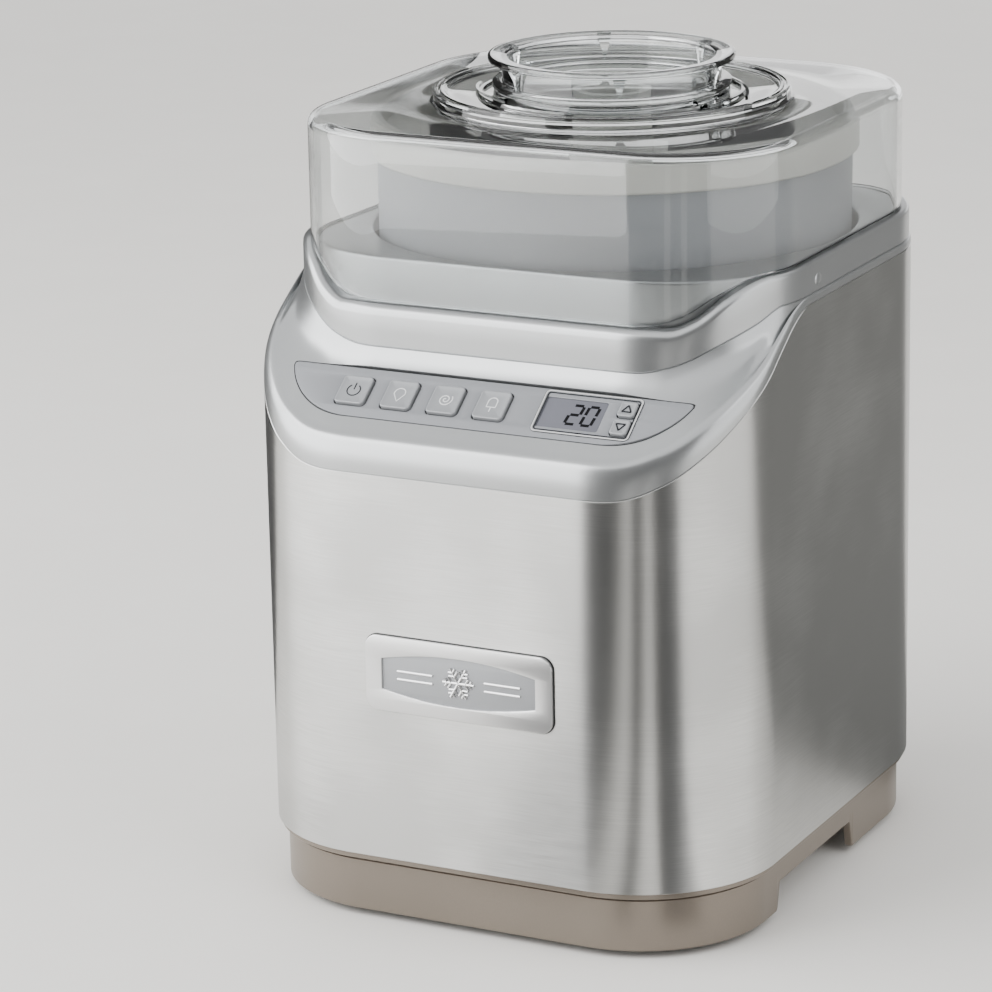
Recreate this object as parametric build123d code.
from build123d import *
import math
import os

# Countertop ice cream maker with a removable freezer bowl, in millimetres.
# The origin is on the surface it stands on, below the middle of the body.
# +X is the user's right, -Y is the front with the control panel, +Z is up.

# ---- driving dimensions -------------------------------------------------

# Plans are (half width, front, back, front corner radius, back corner radius).
BODY = (105.0, -121.5, 121.5, 56.0, 62.0)
COLLAR = (104.2, -87.5, 120.5, 54.0, 61.0)
LID = (101.3, -84.0, 118.0, 51.0, 59.0)
DECK = (98.3, -80.3, 115.0, 48.0, 56.0)
PLINTH = (101.0, -117.5, 117.5, 52.0, 58.0)

FOOT_HEIGHT = 3.0
FLOOR_LOW = 13.0
FLOOR_TOP = 16.5
PLINTH_TOP = 27.5
SLEEVE_FRONT_TOP = 181.0
SLEEVE_SIDE_TOP = 240.0
COLLAR_BASE = 243.2
DECK_TOP = 255.3
LID_TOP = 303.5

STEEL = 0.8
WALL = 3.0
LID_WALL = 2.2
RUNNING = 0.05

BOWL_Y = 17.5
WELL_RADIUS = 95.0
WELL_FLOOR = 122.0
BOWL_RADIUS = 92.5
BOWL_BASE = 126.0
BOWL_TOP = 297.0
RIM_BASE = 284.0
RIM_RADIUS = 95.4
LINER_RADIUS = 72.0
LINER_FLOOR = 142.0

HUB_RADIUS = 70.0
HUB_TOP = 308.0
SPOUT_RADIUS = 44.0
CAP_RADIUS = 48.5
CAP_TOP = 321.0

# Control fascia: a point on its face, and its slope from the horizontal.
FASCIA_Y = -95.5
FASCIA_Z = 211.2
FASCIA_SLOPE = 35.5
PANEL_DEPTH = 1.2
BUTTON_SIZE = (12.6, 13.3)
BUTTON_Y = -6.85
BUTTON_FIRST_X = -53.4
BUTTON_PITCH = 19.55
BUTTON_RADIUS = 1.4
ARROW_SIZE = (6.8, 7.0)
ARROW_X = 59.4
ARROW_UP_Y = -1.8
ARROW_DOWN_Y = -10.5
WINDOW_SIZE = (25.6, 14.4)
WINDOW_AT = (37.9, -6.3)
BEZEL_SIZE = (40.1, 20.2)
BEZEL_AT = (44.2, -6.1)

INLET_X = 30.0
INLET_Z = 52.0
INLET_RADIUS = 3.6
BADGE_STAND = 1.6
PLATE_LOW = 84.2
PLATE_TOP = 87.2

# Gear train, from the motor to the output shaft under the bowl.
MOTOR_TEETH = 12
STAGE_TEETH = 48
PINION_TEETH = 12
OUTPUT_TEETH = 60
MODULE_ONE = 0.8
MODULE_TWO = 1.0
MODULE_THREE = 1.25
SHAFT_RADIUS = 5.0
PIN_RADIUS = 2.5
MOTOR_SHAFT_RADIUS = 2.0

FASCIA = Plane(
    origin=(0, FASCIA_Y, FASCIA_Z),
    x_dir=(1, 0, 0),
    z_dir=(0, -math.sin(math.radians(FASCIA_SLOPE)), math.cos(math.radians(FASCIA_SLOPE))),
)


# ---- shared shapes ------------------------------------------------------

def plan(size, grow=0.0):
    """The rounded outline of a plan, grown outwards by a distance."""
    half_width, front, back, front_radius, back_radius = size
    width = 2 * (half_width + grow)
    depth = back - front + 2 * grow
    outline = Pos(0, (front + back) / 2) * Rectangle(width, depth)
    front_corners = outline.vertices().filter_by(lambda v: v.Y < front - grow + 0.01)
    outline = fillet(front_corners, front_radius + grow)
    back_corners = outline.vertices().filter_by(lambda v: v.Y > back + grow - 0.01)
    return fillet(back_corners, back_radius + grow)


def prism(size, low, high, grow=0.0):
    """A plan extruded from one height to another."""
    return Pos(0, 0, low) * extrude(plan(size, grow), high - low)


def disc(radius, low, high, x=0.0, y=BOWL_Y):
    """A round solid on a vertical axis, the bowl's axis unless given."""
    return Pos(x, y, low) * extrude(Circle(radius), high - low)


def ring(outer, inner, low, high, x=0.0, y=BOWL_Y):
    """A round tube on a vertical axis."""
    return Pos(x, y, low) * extrude(Circle(outer) - Circle(inner), high - low)


def across(profile):
    """A face drawn in the side view, carried across the whole width."""
    return extrude(profile, 150, both=True)


def steel_edge_region(floor, lift=0.0):
    """Everything below the steel sleeve's top edge, which rises from the front to the sides."""
    front = BODY[1] - 10
    back = BODY[2] + 10
    low, high = SLEEVE_FRONT_TOP + lift, SLEEVE_SIDE_TOP + lift
    with BuildSketch(Plane.YZ) as profile:
        with BuildLine():
            Line((front, floor), (front, low))
            Line((front, low), (BODY[1], low))
            Spline(
                [(BODY[1], low), (-102.4, 195.8 + lift), (-73.0, 220.8 + lift), (-33.0, high)],
                tangents=[(1, 0.25), (1, 0)],
            )
            Line((-33.0, high), (back, high))
            Line((back, high), (back, floor))
            Line((back, floor), (front, floor))
        make_face()
    return across(profile.sketch)


def fascia_region(floor, lift=0.0):
    """Everything below the sloped fascia and the shoulder that runs back beside the collar."""
    front = BODY[1] - 10
    back = BODY[2] + 10
    with BuildSketch(Plane.YZ) as profile:
        with BuildLine():
            Line((front, floor), (front, 184.0 + lift))
            Line((front, 184.0 + lift), (BODY[1], 184.0 + lift))
            ThreePointArc((BODY[1], 184.0 + lift), (-120.6, 191.0 + lift), (-117.2, 195.7 + lift))
            Line((-117.2, 195.7 + lift), (-92.0, 213.7 + lift))
            Spline(
                [(-92.0, 213.7 + lift), (-87.5, 221.0 + lift), (-76.0, 230.8 + lift),
                 (-52.0, COLLAR_BASE + lift)],
                tangents=[(1, 0.71), (1, 0.2)],
            )
            Line((-52.0, COLLAR_BASE + lift), (back, COLLAR_BASE + lift))
            Line((back, COLLAR_BASE + lift), (back, floor))
            Line((back, floor), (front, floor))
        make_face()
    return across(profile.sketch)


def ledge_region(floor, lift=0.0):
    """Everything below the collar's top, the ledge that the lid stands on."""
    front = BODY[1] - 10
    back = BODY[2] + 10
    low, high = 238.0 + lift, DECK_TOP + lift
    with BuildSketch(Plane.YZ) as profile:
        with BuildLine():
            Line((front, floor), (front, low))
            Line((front, low), (-83.0, low))
            Spline([(-83.0, low), (-72.5, 249.0 + lift), (-55.0, high)], tangents=[(1, 0.7), (1, 0)])
            Line((-55.0, high), (back, high))
            Line((back, high), (back, floor))
            Line((back, floor), (front, floor))
        make_face()
    return across(profile.sketch)


def on_fascia(face, top, thickness):
    """A face drawn on the fascia, extruded inwards from a height above it."""
    return extrude(FASCIA.offset(top) * face, -thickness)


def button_places():
    """The middle of each of the four large buttons, in the fascia's own axes."""
    return [(BUTTON_FIRST_X + number * BUTTON_PITCH, BUTTON_Y) for number in range(4)]


def panel_outline():
    """The control panel's outline: straight along the top, swept up at both ends."""
    half, flat, top, bottom = 85.0, 52.0, 5.2, -19.4
    run, rise = half - flat, top - bottom
    radius = (run ** 2 + rise ** 2) / (2 * rise)
    middle = math.radians(-90 + 0.5 * math.degrees(math.asin(run / radius)))
    bow_x = flat + radius * math.cos(middle)
    bow_y = bottom + radius + radius * math.sin(middle)
    with BuildSketch() as outline:
        with BuildLine():
            Line((-half, top), (half, top))
            ThreePointArc((half, top), (bow_x, bow_y), (flat, bottom))
            Line((flat, bottom), (-flat, bottom))
            ThreePointArc((-flat, bottom), (-bow_x, bow_y), (-half, top))
        make_face()
    corners = outline.sketch.vertices().filter_by(lambda v: v.Y > top - 0.01)
    return fillet(corners, 2.5)


def screw(x, y, low, high, head_high, radius, head=3.0):
    """A plain screw with a round head below its shank."""
    return disc(radius, head_high, high, x, y) + disc(head, low, head_high, x, y)


def save(node, shape):
    """Writes one node as a STEP file."""
    shape.label = node
    export_step(shape, "parts/" + node + ".step")


# ---- casing -------------------------------------------------------------

def make_feet():
    """Four round rubber feet, each pushed into a socket in the plinth."""
    places = [(x, y) for x in (-70, 70) for y in (-82, 82)]
    feet = [disc(8.0, 0, FOOT_HEIGHT, x, y) + disc(4.0, FOOT_HEIGHT, 9.0, x, y) for x, y in places]
    return Compound(feet)


def make_plinth():
    """Moulded plinth: an inset wall with an arch in each side and at the back, and a seat for the sleeve."""
    inner = 3.0
    shape = prism(PLINTH, FOOT_HEIGHT, PLINTH_TOP)
    lip = prism(BODY, PLINTH_TOP - 2.2, PLINTH_TOP, -1.2)
    upper = prism(BODY, PLINTH_TOP, 42.0, -STEEL - 0.1)
    shape = shape + lip + upper
    shape -= prism(PLINTH, 0, 50.0, -inner)
    side_arch = Pos(0, -16, 6.4) * Box(260, 76, 16)
    side_arch = fillet(side_arch.edges().filter_by(Axis.X).group_by(Axis.Z)[-1], 4)
    back_arch = Pos(0, 110, 6.4) * Box(90, 60, 16)
    back_arch = fillet(back_arch.edges().filter_by(Axis.Y).group_by(Axis.Z)[-1], 4)
    floor = prism(PLINTH, FLOOR_LOW, FLOOR_TOP, -inner)
    shape = shape - (side_arch - prism(PLINTH, 0, 30, -inner - 4))
    shape = shape - (back_arch - prism(PLINTH, 0, 30, -inner - 4))
    shape = shape + floor - floor_openings()
    sockets = [disc(4.0, 0, 9.0, x, y) for x in (-70, 70) for y in (-82, 82)]
    bosses = [disc(9.0, FOOT_HEIGHT, FLOOR_LOW, x, y) for x in (-70, 70) for y in (-82, 82)]
    for boss in bosses:
        shape = shape + (boss & prism(PLINTH, 0, 30, -1.0))
    for socket in sockets:
        shape = shape - socket
    return shape


def floor_openings():
    """Cooling slots and screw holes through the plinth's floor."""
    slots = [Pos(-44 + 8 * number, -56, FLOOR_LOW) * Box(3, 34, 12) for number in range(12)]
    holes = [disc(1.6, 0, 20, x, y) for x, y in floor_screw_places()]
    cut = slots[0]
    for piece in slots[1:] + holes:
        cut = cut + piece
    return cut


def floor_screw_places():
    """Where the screws go up through the floor into the chassis posts."""
    return [(x, y) for x in (-78, 78) for y in (-40, 50)]


def make_sleeve():
    """Brushed stainless wrap round the body, cut lower at the front for the fascia."""
    shell = prism(BODY, PLINTH_TOP, SLEEVE_SIDE_TOP) - prism(BODY, 0, 300, -STEEL)
    shell = shell & steel_edge_region(0)
    return shell - Pos(INLET_X, BODY[2], INLET_Z) * Rot(90, 0, 0) * Cylinder(6.0, 12)


def make_top_housing():
    """Silver moulded housing: sloped control fascia, side shoulders and the collar round the deck."""
    body = prism(BODY, 172, COLLAR_BASE) & fascia_region(100)
    collar = prism(COLLAR, 200, DECK_TOP) & ledge_region(100)
    hollow = prism(BODY, 100, COLLAR_BASE - WALL, -WALL) & fascia_region(90, -3.8)
    shape = body + collar - hollow - prism(DECK, 100, 300, 0.1)
    steel_seat = prism(BODY, 100, 260, 5) - prism(BODY, 90, 270, -STEEL - 0.05)
    shape -= steel_seat & steel_edge_region(80, 0.1)
    shape -= on_fascia(panel_outline(), 5.0, 5.0 + PANEL_DEPTH + 0.3)
    for x, y in button_places():
        shape -= on_fascia(Pos(x, y) * Rectangle(BUTTON_SIZE[0] + 0.9, BUTTON_SIZE[1] + 0.9), 5, 14)
    for y in (ARROW_UP_Y, ARROW_DOWN_Y):
        shape -= on_fascia(Pos(ARROW_X, y) * Rectangle(ARROW_SIZE[0] + 0.9, ARROW_SIZE[1] + 0.9), 5, 14)
    shape -= on_fascia(Pos(*WINDOW_AT) * Rectangle(WINDOW_SIZE[0] - 2, WINDOW_SIZE[1] - 2), 5, 14)
    solids = sorted(shape.solids(), key=lambda solid: solid.volume)
    return solids[-1]


def make_bowl_well():
    """Raised deck with the round well that holds the freezer bowl, and the well's floor."""
    deck = prism(DECK, 234.5, DECK_TOP) - prism(DECK, 200, DECK_TOP - 2.6, -2.6)
    tube = disc(WELL_RADIUS + 2.4, WELL_FLOOR - 3, DECK_TOP - 0.5) - disc(WELL_RADIUS, WELL_FLOOR, 300)
    shape = deck + tube - disc(WELL_RADIUS, WELL_FLOOR, 300)
    rim = shape.edges().filter_by(GeomType.CIRCLE).group_by(Axis.Z)[-1]
    rim = rim.filter_by(lambda edge: abs(edge.radius - WELL_RADIUS) < 0.1)
    shape = fillet(rim, 1.4)
    return shape - disc(9.0, 100, WELL_FLOOR + 1)


def make_badge_plate():
    """Plain rounded nameplate on the front of the sleeve."""
    outline = RectangleRounded(79, 30, 5)
    plate = Pos(-0.5, BODY[1], 103.5) * Rot(90, 0, 0) * extrude(outline, BADGE_STAND)
    outline = RectangleRounded(73, 24, 3.5)
    tray = Pos(-0.5, BODY[1] - BADGE_STAND, 103.5) * Rot(90, 0, 0) * extrude(outline, -0.7)
    return plate - tray


def make_badge_inlay():
    """Plain oval insert lying in the nameplate's tray."""
    return Pos(-0.5, BODY[1] - 0.9, 103.5) * Rot(90, 0, 0) * extrude(RectangleRounded(70, 21, 3), 0.6)


# ---- control panel ------------------------------------------------------

def make_panel_plate():
    """Grey control panel plate lying in the fascia's recess."""
    plate = on_fascia(offset(panel_outline(), -0.25), -0.3, PANEL_DEPTH)
    for x, y in button_places():
        plate -= on_fascia(Pos(x, y) * Rectangle(BUTTON_SIZE[0] + 0.8, BUTTON_SIZE[1] + 0.8), 5, 14)
    for y in (ARROW_UP_Y, ARROW_DOWN_Y):
        plate -= on_fascia(Pos(ARROW_X, y) * Rectangle(ARROW_SIZE[0] + 0.8, ARROW_SIZE[1] + 0.8), 5, 14)
    return plate - on_fascia(Pos(*WINDOW_AT) * RectangleRounded(*WINDOW_SIZE, 0.8), 5, 14)


def make_button(x, y, size):
    """A moulded push button with a cap, and a stem down towards its switch."""
    cap = on_fascia(Pos(x, y) * RectangleRounded(*size, BUTTON_RADIUS), 1.0, 4.4)
    face = cap.faces().filter_by(FASCIA).sort_by(Axis.Z)[-1]
    stem = on_fascia(Pos(x, y) * Circle(1.6), -3.0, 4.2)
    return fillet(face.edges(), 0.5) + stem


def make_window():
    """Clear window over the display."""
    width, height = WINDOW_SIZE
    return on_fascia(Pos(*WINDOW_AT) * RectangleRounded(width - 0.2, height - 0.2, 0.7), -0.4, 1.1)


def make_bezel():
    """Raised border round the display and its two time buttons."""
    rim = RectangleRounded(*BEZEL_SIZE, 2.0) - RectangleRounded(BEZEL_SIZE[0] - 1.2, BEZEL_SIZE[1] - 1.2, 1.5)
    return on_fascia(Pos(*BEZEL_AT) * rim, 0.1, 0.4)


def make_display():
    """Liquid crystal display module on the control board."""
    width, height = WINDOW_SIZE
    glass = on_fascia(Pos(*WINDOW_AT) * Rectangle(width - 3, height - 3), -1.9, 4.3)
    return glass


def make_control_board():
    """Circuit board that carries the display and the button switches."""
    board = on_fascia(Pos(2, -6.5) * RectangleRounded(140, 20, 2), -9.6, 1.6)
    return board + on_fascia(Pos(*WINDOW_AT) * Rectangle(WINDOW_SIZE[0] - 4, WINDOW_SIZE[1] - 4), -6.2, 3.4)


def make_switches():
    """One tactile switch under each button."""
    places = button_places() + [(ARROW_X, ARROW_UP_Y), (ARROW_X, ARROW_DOWN_Y)]
    return Compound([on_fascia(Pos(x, y) * Rectangle(5, 5), -8.75, 0.85) for x, y in places])


def make_board_clips():
    """Two posts that hold the control board under the fascia."""
    return Compound([on_fascia(Pos(x, -6.5) * Rectangle(3, 8), -3.15, 6.45) for x in (-65, 69)])


# ---- gear train and motor ----------------------------------------------

def polar(centre, distance, angle):
    """A point at a distance and an angle from another."""
    radians = math.radians(angle)
    return (centre[0] + distance * math.cos(radians), centre[1] + distance * math.sin(radians))


OUTPUT_AT = (0.0, BOWL_Y)
SECOND_AT = polar(OUTPUT_AT, MODULE_THREE * (OUTPUT_TEETH + PINION_TEETH) / 2, 225)
FIRST_AT = polar(SECOND_AT, MODULE_TWO * (STAGE_TEETH + PINION_TEETH) / 2, 270)
MOTOR_AT = polar(FIRST_AT, MODULE_ONE * (STAGE_TEETH + MOTOR_TEETH) / 2, 0)


def gear(centre, teeth, module, low, high, phase):
    """A spur gear with straight-flanked teeth, one of them pointing along the phase angle."""
    root = module * (teeth / 2 - 1.25)
    tip = module * (teeth / 2 + 0.75)
    pitch = 360 / teeth
    corners = []
    for number in range(teeth):
        for radius, share in ((root, -0.27), (tip, -0.11), (tip, 0.11), (root, 0.27)):
            corners.append(polar((0, 0), radius, phase + (number + share) * pitch))
    with BuildSketch() as outline:
        with BuildLine():
            Polyline(corners, close=True)
        make_face()
    return Pos(centre[0], centre[1], low) * extrude(outline.sketch, high - low)


def make_motor_can():
    """Motor housing, closed at the bottom, with a flange screwed below the chassis plate."""
    x, y = MOTOR_AT
    wall = ring(28, 26.5, 40, PLATE_LOW, x, y)
    return wall + ring(28, 4.2, 38.5, 40, x, y) + ring(30, 26.5, PLATE_LOW - 2.5, PLATE_LOW, x, y)


def make_motor_bushes():
    """Two bronze bushes that the motor shaft turns in, in the motor's base and in the plate above it."""
    lower = ring(4.2, MOTOR_SHAFT_RADIUS + RUNNING, 38.5, 42.0, *MOTOR_AT)
    upper = ring(8.0, MOTOR_SHAFT_RADIUS + RUNNING, PLATE_LOW, PLATE_TOP, *MOTOR_AT)
    return Compound([lower, upper])


def make_motor_magnets():
    """Ring magnet inside the motor."""
    return ring(26.4, 21.0, 46, 76, *MOTOR_AT)


def make_motor_rotor():
    """Wound rotor on the motor shaft."""
    return ring(19.5, MOTOR_SHAFT_RADIUS, 47, 75, *MOTOR_AT)


def make_motor_shaft():
    """Motor shaft, from the fan up to the pinion."""
    return disc(MOTOR_SHAFT_RADIUS, 29, 98, *MOTOR_AT)


def make_motor_pinion():
    """Small pinion pressed on the motor shaft."""
    pinion = gear(MOTOR_AT, MOTOR_TEETH, MODULE_ONE, 90.2, 97.6, 180)
    return pinion - disc(MOTOR_SHAFT_RADIUS, 80, 110, *MOTOR_AT)


def make_cooling_fan():
    """Seven-bladed fan below the motor."""
    x, y = MOTOR_AT
    fan = ring(7, MOTOR_SHAFT_RADIUS, 30, 36.5, x, y)
    blade = Pos(15.2, 0, 0) * Rot(28, 0, 0) * Box(18, 9, 1.4)
    blades = [Pos(x, y, 33.2) * Rot(0, 0, 360 / 7 * number) * blade
              for number in range(7)]
    for blade in blades:
        fan = fan + blade
    return fan - disc(MOTOR_SHAFT_RADIUS, 20, 50, x, y)


def gearbox_outline(grow=0.0):
    """Outline that wraps round all four gear axes."""
    circles = [(OUTPUT_AT, 44.0), (SECOND_AT, 31.0), (FIRST_AT, 26.0), (MOTOR_AT, 12.0)]
    outline = Sketch() + [Pos(*centre) * Circle(radius + grow) for centre, radius in circles]
    return make_hull(outline.edges())


def make_gearbox_case():
    """Gearbox tray with its side wall and the sockets of the fixed pins."""
    case = Pos(0, 0, PLATE_TOP) * extrude(gearbox_outline(), 26)
    case -= Pos(0, 0, PLATE_TOP + 2.5) * extrude(gearbox_outline(-2.5), 30)
    case -= disc(MOTOR_SHAFT_RADIUS + 1.2, 80, 95, *MOTOR_AT)
    case -= disc(PIN_RADIUS, 80, 95, *SECOND_AT) + disc(PIN_RADIUS, 80, 95, *FIRST_AT)
    return case - disc(8.0, 80, 95)


def make_gearbox_cover():
    """Lid of the gearbox, under the well's floor."""
    cover = Pos(0, 0, PLATE_TOP + 26) * extrude(gearbox_outline(), 2.6)
    cover -= disc(PIN_RADIUS, 80, 120, *SECOND_AT) + disc(PIN_RADIUS, 80, 120, *FIRST_AT)
    return cover - disc(8.0, 80, 120)


def make_gear_pins():
    """Two fixed steel pins that the intermediate gears turn on."""
    return Compound([disc(PIN_RADIUS, 87.4, 115.6, *centre) for centre in (SECOND_AT, FIRST_AT)])


def make_stage_gear(centre, module, pinion_module, heights, toward, onward):
    """A gear and the smaller pinion moulded above it, meshed along the two given directions."""
    low, step, high = heights
    wheel = gear(centre, STAGE_TEETH, module, low, step, toward + 180 / STAGE_TEETH)
    pinion = gear(centre, PINION_TEETH, pinion_module, step, high, onward)
    return wheel + pinion - disc(PIN_RADIUS + RUNNING, 80, 120, *centre)


def make_output_gear():
    """Large gear on the output shaft."""
    low, high = 105.4, 111.6
    wheel = gear(OUTPUT_AT, OUTPUT_TEETH, MODULE_THREE, low, high, 225 + 180 / OUTPUT_TEETH)
    return wheel - disc(SHAFT_RADIUS, 90, 120)


def make_output_shaft():
    """Steel shaft that carries the large gear and the drive hub."""
    return disc(SHAFT_RADIUS, 88.6, 131.0)


def make_shaft_bushes():
    """Two sintered bronze bushes that the output shaft turns in."""
    lower = ring(8.0, SHAFT_RADIUS + RUNNING, 87.2, 92.5)
    upper = ring(8.0, SHAFT_RADIUS + RUNNING, 113.2, 120.5)
    return Compound([lower, upper])


def hub_outline(grow=0.0):
    """Six-lobed outline of the drive hub that turns the bowl."""
    outline = Circle(20 + grow)
    for number in range(6):
        outline += Rot(0, 0, 60 * number) * Pos(20, 0) * Rectangle(14 + 2 * grow, 9 + 2 * grow)
    return outline


def make_drive_hub():
    """Moulded drive hub on the output shaft, above the well's floor."""
    hub = Pos(0, BOWL_Y, WELL_FLOOR + 0.5) * extrude(hub_outline(), 11.5)
    return hub - disc(SHAFT_RADIUS, 100, 131.0)


def make_chassis_plate():
    """Steel plate that carries the motor below and the gearbox above."""
    plate = prism((88, -80, 72, 20, 20), PLATE_LOW, PLATE_TOP)
    plate -= disc(8.0, 80, 95, *MOTOR_AT) + disc(PIN_RADIUS + 1, 80, 95, *SECOND_AT)
    return plate - disc(10.0, 80, 95) - disc(PIN_RADIUS + 1, 80, 95, *FIRST_AT)


def make_chassis_posts():
    """Four posts that hold the chassis plate above the floor."""
    return Compound([ring(5, 1.5, FLOOR_TOP, PLATE_LOW, x, y) for x, y in floor_screw_places()])


def make_floor_screws():
    """Screws from below, through the floor into the posts."""
    return Compound([screw(x, y, FLOOR_LOW - 2.2, 32, FLOOR_LOW, 1.45) for x, y in floor_screw_places()])


def make_power_board():
    """Mains circuit board standing at the back."""
    return Pos(0, 98, 56) * Box(96, 1.6, 52)


def make_power_components():
    """Transformer, capacitor, relay and heat sink on the mains board."""
    transformer = Pos(-28, 84.9, 56) * Box(30, 24.4, 34)
    capacitor = Pos(4, 90, 56) * Rot(90, 0, 0) * Cylinder(7, 14.2)
    relay = Pos(24, 91, 66) * Box(14, 12.2, 18)
    sink = Pos(24, 90, 42) * Box(22, 14.2, 12)
    return Compound([transformer, capacitor, relay, sink])


def make_board_brackets():
    """Two brackets that hold the mains board on the floor."""
    bracket = Pos(0, 98, FLOOR_TOP + 9) * Box(8, 12, 18) - Pos(0, 98, 32) * Box(9, 1.7, 6)
    return Compound([Pos(x, 0, 0) * bracket for x in (-42, 42)])


def make_cord_inlet():
    """Rubber grommet in the back of the sleeve, where a mains cord would enter."""
    tube = Cylinder(5.9, 10) - Cylinder(INLET_RADIUS, 12)
    flange = Cylinder(8.5, BADGE_STAND) - Cylinder(INLET_RADIUS, 4)
    at_back = Pos(INLET_X, BODY[2], INLET_Z) * Rot(-90, 0, 0)
    outer = at_back * Pos(0, 0, BADGE_STAND / 2) * flange
    inner = at_back * Pos(0, 0, -STEEL - 0.1 - BADGE_STAND / 2) * flange
    return at_back * Pos(0, 0, BADGE_STAND - 5) * tube + outer + inner


# ---- freezer bowl, paddle and lid --------------------------------------

def make_glide_ring():
    """Low-friction ring between the well's floor and the freezer bowl."""
    return ring(80, 70, WELL_FLOOR + 0.3, BOWL_BASE - 0.35)


def make_bowl_shell():
    """Outer wall and base of the freezer bowl, with a socket for the drive hub."""
    shell = disc(BOWL_RADIUS, BOWL_BASE, RIM_BASE) - disc(BOWL_RADIUS - 2, BOWL_BASE + 12, 400)
    edge = shell.edges().filter_by(GeomType.CIRCLE).sort_by(Axis.Z)[0]
    shell = fillet(edge, 3)
    return shell - Pos(0, BOWL_Y, 100) * extrude(hub_outline(0.5), 34.6)


def make_bowl_liner():
    """Aluminium inner cup of the freezer bowl."""
    cup = disc(LINER_RADIUS + 1.5, LINER_FLOOR - 1.5, RIM_BASE + 2) - disc(LINER_RADIUS, LINER_FLOOR, 400)
    floor_edge = cup.edges().filter_by(GeomType.CIRCLE)
    floor_edge = floor_edge.filter_by(lambda edge: abs(edge.radius - LINER_RADIUS) < 0.1).sort_by(Axis.Z)[0]
    return fillet(floor_edge, 8)


def make_bowl_coolant():
    """Freezing gel sealed between the liner and the outer wall."""
    gel = disc(BOWL_RADIUS - 2.1, BOWL_BASE + 12.1, RIM_BASE - 10)
    return gel - disc(LINER_RADIUS + 1.6, LINER_FLOOR - 1.6, 400)


def make_bowl_rim():
    """Moulded rim that seals the top of the freezer bowl."""
    band = ring(RIM_RADIUS, LINER_RADIUS, RIM_BASE, BOWL_TOP)
    band = fillet(band.edges().filter_by(GeomType.CIRCLE).group_by(Axis.Z)[-1], 2.5)
    band -= disc(LINER_RADIUS + 1.55, RIM_BASE - 1, RIM_BASE + 2.05)
    plug = ring(BOWL_RADIUS - 2.1, BOWL_RADIUS - 5, RIM_BASE - 8, RIM_BASE)
    return band + plug


def make_paddle():
    """Mixing paddle: a central socket, arms across the bowl and blades by the wall."""
    floor = LINER_FLOOR + 0.8
    wall = LINER_RADIUS - 3.0
    hub = ring(16, 12.5, 262, 300.5)
    collar = ring(22, 12.5, 272, 275)
    top_bar = Pos(0, BOWL_Y, 268) * Box(2 * wall - 6, 7, 7)
    low_bar = Pos(0, BOWL_Y, floor + 5.5) * Box(2 * wall - 26, 9, 5)
    shape = hub + collar + (top_bar - disc(12.5, 200, 300)) + low_bar
    for side in (-1, 1):
        blade = Pos(side * (wall - 3), BOWL_Y, (floor + 8 + 275) / 2) * Rot(0, 0, side * 25)
        shape = shape + blade * Box(3, 14, 275 - floor - 8)
        sweep_bar = Pos(side * (wall - 12), BOWL_Y, floor + 9) * Rot(0, side * -40, 0) * Box(22, 9, 4)
        shape = shape + sweep_bar
        arm = Rot(0, 0, side * -35) * Box(3, 12, 266 - floor - 5)
        shape = shape + Pos(side * 34, BOWL_Y, (floor + 5 + 266) / 2) * arm
    return shape & disc(LINER_RADIUS - 1.2, LINER_FLOOR + 0.5, 310)


def make_lid():
    """Clear lid: flat top with a round raised hub and spout, and a skirt down to the collar."""
    outer = prism(LID, 225, LID_TOP)
    outer = fillet(outer.faces().sort_by(Axis.Z)[-1].edges(), 4.5)
    inner = prism(LID, 200, LID_TOP - LID_WALL, -LID_WALL)
    shape = outer - inner - ledge_region(150, 0.35)
    shape = shape + ring(HUB_RADIUS, SPOUT_RADIUS, LID_TOP - LID_WALL, HUB_TOP)
    shape -= ring(HUB_RADIUS - LID_WALL, SPOUT_RADIUS + LID_WALL, LID_TOP - 4, HUB_TOP - LID_WALL)
    shape -= disc(SPOUT_RADIUS, 200, 400)
    shape += ring(19.0, 16.7, 293.5, 301.3)
    for number in range(3):
        arm = Pos(0, BOWL_Y, 300.2) * Rot(0, 0, 30 + 120 * number) * Pos(32.5, 0, 0) * Box(28.5, 5, 2.2)
        shape += arm
    solids = sorted(shape.solids(), key=lambda solid: solid.volume)
    return solids[-1]


def make_ingredient_cap():
    """Clear cap of the spout, a shallow measuring cup with a broad rim."""
    flange = ring(CAP_RADIUS, SPOUT_RADIUS - 3.2, CAP_TOP - 2.6, CAP_TOP)
    crown = flange.edges().filter_by(GeomType.CIRCLE).group_by(Axis.Z)[-1]
    flange = fillet(crown.sort_by(SortBy.LENGTH)[-1:], 1.2)
    step = ring(SPOUT_RADIUS + 3, SPOUT_RADIUS - 3.2, HUB_TOP + 0.4, HUB_TOP + 2.4)
    wall = ring(SPOUT_RADIUS - 1.0, SPOUT_RADIUS - 3.2, 303.0, CAP_TOP)
    floor = disc(SPOUT_RADIUS - 1.0, 303.0, 305.2)
    return flange + step + wall + floor


# ---- write the nodes ----------------------------------------------------

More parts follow.
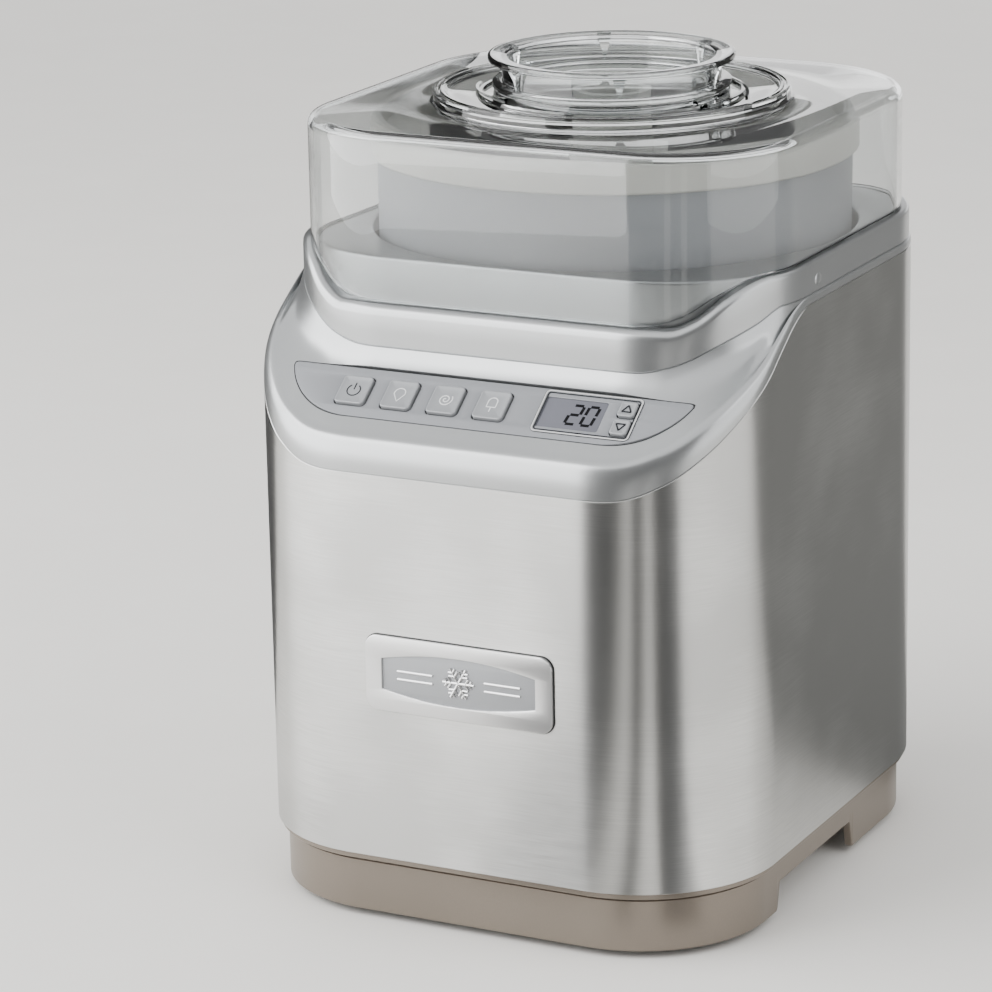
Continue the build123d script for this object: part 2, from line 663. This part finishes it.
save("rubber_feet", make_feet())
save("base_plinth", make_plinth())
save("steel_sleeve", make_sleeve())
save("top_housing", make_top_housing())
save("bowl_well", make_bowl_well())
save("badge_plate", make_badge_plate())
save("badge_inlay", make_badge_inlay())

save("panel_plate", make_panel_plate())
for name, (place_x, place_y) in zip(("power", "ice_cream", "gelato", "sorbet"), button_places()):
    save(name + "_button", make_button(place_x, place_y, BUTTON_SIZE))
save("time_up_button", make_button(ARROW_X, ARROW_UP_Y, ARROW_SIZE))
save("time_down_button", make_button(ARROW_X, ARROW_DOWN_Y, ARROW_SIZE))
save("display_window", make_window())
save("display_bezel", make_bezel())
save("display_module", make_display())
save("control_board", make_control_board())
save("button_switches", make_switches())
save("board_clips", make_board_clips())

save("motor_can", make_motor_can())
save("motor_bushes", make_motor_bushes())
save("motor_magnets", make_motor_magnets())
save("motor_rotor", make_motor_rotor())
save("motor_shaft", make_motor_shaft())
save("motor_pinion", make_motor_pinion())
save("cooling_fan", make_cooling_fan())
save("gearbox_case", make_gearbox_case())
save("gearbox_cover", make_gearbox_cover())
save("gear_pins", make_gear_pins())
save("first_gear", make_stage_gear(FIRST_AT, MODULE_ONE, MODULE_TWO, (90.5, 97.0, 104.4), 0, 90))
save("second_gear", make_stage_gear(SECOND_AT, MODULE_TWO, MODULE_THREE, (98.4, 103.8, 112.4), 270, 45))
save("output_gear", make_output_gear())
save("output_shaft", make_output_shaft())
save("shaft_bushes", make_shaft_bushes())
save("drive_hub", make_drive_hub())
save("chassis_plate", make_chassis_plate())
save("chassis_posts", make_chassis_posts())
save("floor_screws", make_floor_screws())
save("power_board", make_power_board())
save("power_components", make_power_components())
save("board_brackets", make_board_brackets())
save("cord_inlet_grommet", make_cord_inlet())

save("bowl_glide_ring", make_glide_ring())
save("bowl_shell", make_bowl_shell())
save("bowl_liner", make_bowl_liner())
save("bowl_coolant", make_bowl_coolant())
save("bowl_rim", make_bowl_rim())
save("paddle", make_paddle())
save("lid", make_lid())
save("ingredient_cap", make_ingredient_cap())
